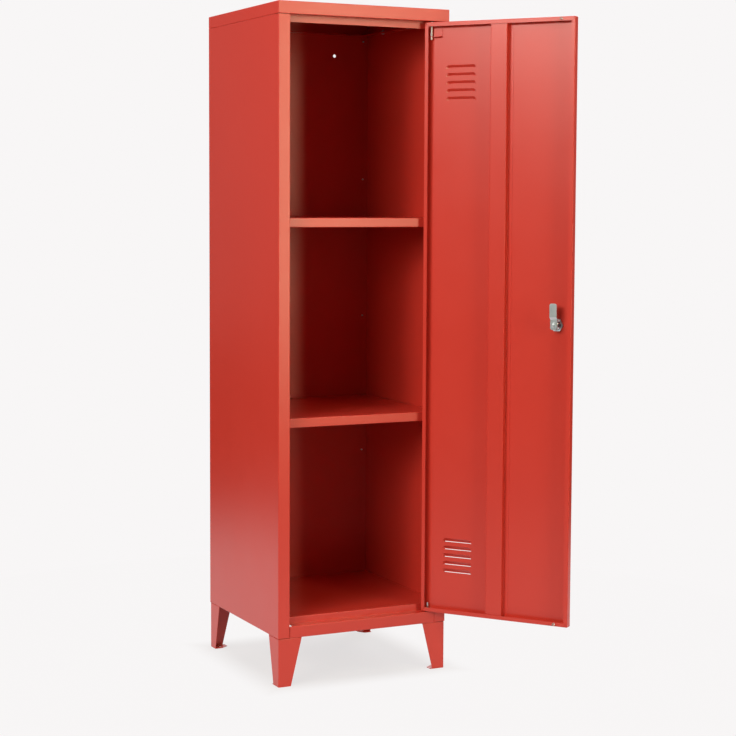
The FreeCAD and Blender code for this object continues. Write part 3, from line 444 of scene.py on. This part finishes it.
def barrelSkin(lock, columns=144, roundRows=8):
    # a closed ring: bezel with a quarter round, thread cut off by the flats, bevelled end, bore, seat
    angle = ringAngles(columns)
    ones = np.ones_like(angle)
    bezel = lock["bezelWidth"] / 2
    soft = lock["bezelRound"]
    end = lock["bezelHeight"] + lock["length"]
    seat = lock["seatWidth"] / 2
    turn = np.linspace(0, np.pi / 2, roundRows)[:, None]
    frontRadius = np.concatenate([[[seat]], bezel - soft + soft * np.sin(turn), [[bezel]]]) * ones
    frontDepth = np.concatenate([[[lock["dish"]]], soft * (1 - np.cos(turn)), [[lock["bezelHeight"]]]]) * ones
    depth = threadDepths(lock)
    bevel = lock["shankWidth"] / 2 - np.clip(depth - lock["length"] + lock["endEdge"], 0, None)
    thread = np.minimum(threadRadius(depth, angle, lock), bevel)
    thread = np.minimum(thread, lock["flats"] / 2 / np.maximum(np.abs(np.cos(angle)), smallCosine))
    backRadius = np.array([lock["bore"] / 2, lock["bore"] / 2, seat, seat])[:, None] * ones
    backDepth = np.array([end, lock["seatDepth"], lock["seatDepth"], lock["dish"]])[:, None] * ones
    return np.concatenate([roundSkin(frontRadius, frontDepth, angle),
                           roundSkin(thread, depth + lock["bezelHeight"], angle),
                           roundSkin(backRadius, backDepth, angle)])


def camBoltSkin(bolt, columns=72, crownRows=20):
    # hexagon head with a low crown, corners taken off by a cone, a cross slot, then the thread
    angle = ringAngles(columns)
    flats = hexRadius(angle, bolt["width"])
    face = bolt["faceShare"] * bolt["width"] / 2
    reach = np.linspace(0, 1, crownRows)[:, None]
    topRadius = face * reach * np.ones_like(angle)
    topDepth = bolt["crown"] * reach ** 2 + crossRecess(topRadius, angle, bolt)
    drop = bolt["crown"] + (flats - face) * cornerSlope
    sideRadius = np.stack([flats, flats])
    sideDepth = np.stack([drop, np.full_like(angle, bolt["headHeight"])])
    radius, depth = shankRows(bolt, angle)
    return np.concatenate([roundSkin(topRadius, topDepth, angle), roundSkin(sideRadius, sideDepth, angle),
                           roundSkin(radius, depth + bolt["headHeight"], angle)])


def makeOnLock(name, node, skin, axis, turn):
    # a piece that begins where its node begins on the lock's axis, seen along axis
    start = (nodePoints(node) @ axis).min()
    origin = lockCentre + (start - lockCentre @ axis) * axis
    makePiece(name, placeSkins(skin, [origin], axis, doorSide, np.array([turn])), node)


makeOnLock("lockHousing", "lock_housing", barrelSkin(lockBarrel), -lockAxis, 0.0)
makeOnLock("lockNut", "lock_nut", nutSkin(barrelNut), lockAxis, 0.0)
makeOnLock("camScrew", "cam_screw", camBoltSkin(camBolt), lockAxis, camBolt["turn"])
print("nuts and lock made")


# The studio: a pale grey sheet on a dark floor, seen against a pale surround, and soft boxes.
studio = {
    "pale": "#f8f6f6",
    "paleStrength": 1.0,
    "sheet": "#b9b7b5",
    "darkFloor": "#1c1b1b",
    "floorReach": 9.0,
    "sheetEdge": (1.0, 2.4),
    # these two draw a painted shadow square under the object: the glow's share inside and outside it, and the
    # square's soft edge
    "paintedShadowShare": (0.76, 0.99),
    "paintedShadowEdge": (0.16, 0.25),
    "paleFade": (0.3, 1.2),
    "backdropWay": (0.43, 0.9, 0.0),
    "backdropEdge": (0.74, 0.87),
    "ambient": "#ffffff",
    "ambientStrength": 0.08,
}
rising = (0.0, 1.0)
falling = (1.0, 0.0)
warmWhite = "#fffaee"
yellowWhite = "#fff0c8"
plainWhite = "#ffffff"
# Boxes that are not mirrored give light but no reflection, which would spread the door's highlight.
softBoxes = {
    "leftBack": {"place": (-2.6, 1.2, 2.4), "aim": (0.0, 0.0, 0.8), "size": (1.5, 1.2),
                 "watts": 20, "tint": warmWhite, "mirrored": True},
    "leftFront": {"place": (-2.6, -1.9, 1.7), "aim": (0.0, -0.1, 0.8), "size": (1.4, 1.0),
                  "watts": 41, "tint": warmWhite, "mirrored": False},
    "leftHigh": {"place": (-2.3, -1.8, 2.9), "aim": (0.0, -0.1, 0.8), "size": (1.4, 1.2),
                 "watts": 14, "tint": warmWhite, "mirrored": True},
    "doorBox": {"place": (-3.0, -1.35, 2.05), "aim": (0.2, -0.3, 1.2), "size": (1.0, 0.5),
                "watts": 38, "tint": warmWhite, "mirrored": True},
    "frontStrip": {"place": (1.2, -3.0, 1.22), "aim": (0.0, -0.2, 0.85), "size": (0.6, 1.85),
                   "watts": 35, "tint": yellowWhite, "mirrored": True},
    "rightFront": {"place": (2.3, -2.0, 2.1), "aim": (0.0, -0.2, 0.8), "size": (1.2, 1.2),
                   "watts": 30, "tint": warmWhite, "mirrored": True},
    "overhead": {"place": (0.0, 0.1, 3.4), "aim": (0.0, 0.1, 0.8), "size": (2.4, 2.4),
                 "watts": 40, "tint": plainWhite, "mirrored": True},
    "rear": {"place": (2.5, 2.4, 2.3), "aim": (0.0, 0.1, 0.7), "size": (1.6, 1.4),
             "watts": 75, "tint": plainWhite, "mirrored": True},
}
photoCamera = {
    "place": (-1.6017, -3.479, 0.9792),
    "turn": (1.48853, -0.00457, -0.4547),
    "focalPixels": 1807.2,
    "middleRow": 350,
    "framePixels": 736,
    "sensor": 36.0,
}


def seenPale(tree, mirroredShare):
    # 1 for rays that see the pale surround: straight ones, and reflected ones by the share given
    path = addNode(tree, "ShaderNodeLightPath", {}).outputs
    straight = addMath(tree, "MAXIMUM", path["Is Camera Ray"], path["Is Transmission Ray"])
    mirrored = addMath(tree, "MULTIPLY", path["Is Glossy Ray"], mirroredShare)
    return addMath(tree, "MAXIMUM", straight, mirrored)


def makeFloor():
    # one flat square in the plane of the feet
    reach = studio["floorReach"]
    corners = np.array([(-1, -1, 0), (1, -1, 0), (1, 1, 0), (-1, 1, 0)]) * reach
    mesh = bpy.data.meshes.new("studioFloor")
    mesh.from_pydata(corners.tolist(), [], [(0, 1, 2, 3)])
    floor = bpy.data.objects.new("studioFloor", mesh)
    bpy.context.scene.collection.objects.link(floor)
    material = bpy.data.materials.new("paleFloor")
    material.use_nodes = True
    tree = material.node_tree
    tree.nodes.clear()
    place = addNode(tree, "ShaderNodeTexCoord", {}).outputs["Object"]
    distance = addNode(tree, "ShaderNodeVectorMath", {"operation": "LENGTH"}, {0: place}).outputs["Value"]
    sheet = addRange(tree, distance, studio["sheetEdge"], falling, "SMOOTHSTEP")
    seen = seenPale(tree, sheet)
    # painted shadow: in a soft square under the object less of the pale glow shows, so the floor there is darker
    # and the lit floor's real shadow shows through; further out the glow hides it
    spread = addNode(tree, "ShaderNodeVectorMath", {"operation": "ABSOLUTE"}, {0: place}).outputs["Vector"]
    sides = addNode(tree, "ShaderNodeSeparateXYZ", {}, {"Vector": spread}).outputs
    square = addMath(tree, "MAXIMUM", sides["X"], sides["Y"])
    under = addRange(tree, square, studio["paintedShadowEdge"], studio["paintedShadowShare"], "SMOOTHSTEP")
    away = addRange(tree, distance, studio["paleFade"], rising, "SMOOTHSTEP")
    share = addMath(tree, "MULTIPLY", seen, addMath(tree, "MAXIMUM", under, away))
    shade = addMix(tree, sheet, studio["darkFloor"], studio["sheet"])
    lit = addNode(tree, "ShaderNodeBsdfDiffuse", {}, {"Color": shade})
    glow = addNode(tree, "ShaderNodeEmission",
                   {"Color": linearColour(studio["pale"]), "Strength": studio["paleStrength"]})
    mix = addNode(tree, "ShaderNodeMixShader", {}, {0: share, 1: lit.outputs[0], 2: glow.outputs[0]})
    addNode(tree, "ShaderNodeOutputMaterial", {}, {"Surface": mix.outputs[0]})
    mesh.materials.append(material)


def makeWorld():
    # pale where it is seen, and in reflections only behind the object, with a faint even light
    world = bpy.data.worlds.new("studioWorld")
    bpy.context.scene.world = world
    world.use_nodes = True
    tree = world.node_tree
    tree.nodes.clear()
    way = addNode(tree, "ShaderNodeTexCoord", {}).outputs["Generated"]
    facing = addNode(tree, "ShaderNodeVectorMath",
                     {"operation": "DOT_PRODUCT", 1: Vector(studio["backdropWay"]).normalized()},
                     {0: way}).outputs["Value"]
    seen = seenPale(tree, addRange(tree, facing, studio["backdropEdge"], rising, "SMOOTHSTEP"))
    ambient = addNode(tree, "ShaderNodeBackground",
                      {"Color": linearColour(studio["ambient"]), "Strength": studio["ambientStrength"]})
    pale = addNode(tree, "ShaderNodeBackground",
                   {"Color": linearColour(studio["pale"]), "Strength": studio["paleStrength"]})
    mix = addNode(tree, "ShaderNodeMixShader", {}, {0: seen, 1: ambient.outputs[0], 2: pale.outputs[0]})
    addNode(tree, "ShaderNodeOutputWorld", {}, {"Surface": mix.outputs[0]})


def makeLights():
    for name, box in softBoxes.items():
        lamp = bpy.data.lights.new(name, "AREA")
        lamp.shape = "RECTANGLE"
        lamp.size, lamp.size_y = box["size"]
        lamp.energy = box["watts"]
        lamp.color = linearColour(box["tint"])[:3]
        light = bpy.data.objects.new(name, lamp)
        light.location = box["place"]
        light.visible_camera = False
        light.visible_glossy = box["mirrored"]
        way = Vector(box["aim"]) - Vector(box["place"])
        light.rotation_euler = way.to_track_quat("-Z", "Y").to_euler()
        bpy.context.scene.collection.objects.link(light)


def makeCamera():
    data = bpy.data.cameras.new("photoCamera")
    camera = bpy.data.objects.new("photoCamera", data)
    pixels = photoCamera["framePixels"]
    data.sensor_width = photoCamera["sensor"]
    data.lens = photoCamera["focalPixels"] / pixels * photoCamera["sensor"]
    data.shift_y = (photoCamera["middleRow"] - pixels / 2) / pixels
    camera.location = photoCamera["place"]
    camera.rotation_euler = photoCamera["turn"]
    bpy.context.scene.collection.objects.link(camera)
    bpy.context.scene.camera = camera


makeFloor()
makeWorld()
makeLights()
makeCamera()
bpy.context.scene.view_settings.view_transform = "Standard"
print("studio set")
